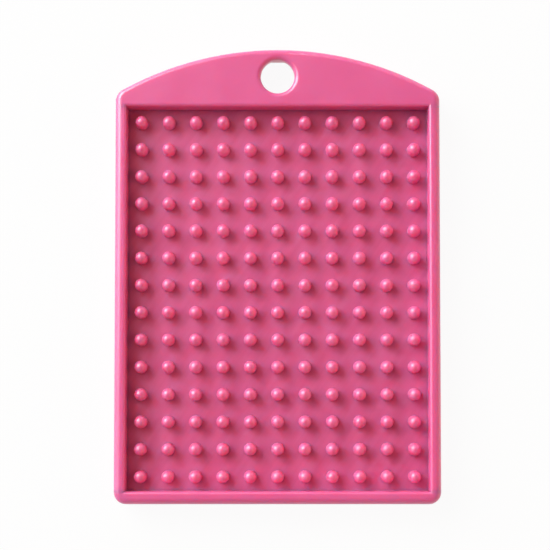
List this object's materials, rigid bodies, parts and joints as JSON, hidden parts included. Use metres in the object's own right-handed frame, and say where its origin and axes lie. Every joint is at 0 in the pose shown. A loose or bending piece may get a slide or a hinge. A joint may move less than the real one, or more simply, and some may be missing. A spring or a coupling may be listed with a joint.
{
  "type": "mosaic peg tray",
  "caption": "Shallow rectangular tray with a low rim, a field of small domed pegs on its floor that hold mosaic tiles, and an arched head with a round hole to hang it by.",
  "frame": {"origin": "middle of the back face's outline, where the tray lies on a table", "axes": "+Z out of the front, the way the pegs point; +Y along the tray towards the hanging head; +X to the right"},
  "size_m": [0.0296, 0.0414, 0.0031],
  "materials": {
    "pink_plastic": "glossy moulded pink plastic, coloured through"
  },
  "bodies": {
    "root": {"floor_panel": "pink_plastic", "left_wall": "pink_plastic", "right_wall": "pink_plastic", "lower_wall": "pink_plastic", "hanging_head": "pink_plastic", "peg_row_01": "pink_plastic", "peg_row_02": "pink_plastic", "peg_row_03": "pink_plastic", "peg_row_04": "pink_plastic", "peg_row_05": "pink_plastic", "peg_row_06": "pink_plastic", "peg_row_07": "pink_plastic", "peg_row_08": "pink_plastic", "peg_row_09": "pink_plastic", "peg_row_10": "pink_plastic", "peg_row_11": "pink_plastic", "peg_row_12": "pink_plastic", "peg_row_13": "pink_plastic", "peg_row_14": "pink_plastic"}
  },
  "joints": []
}
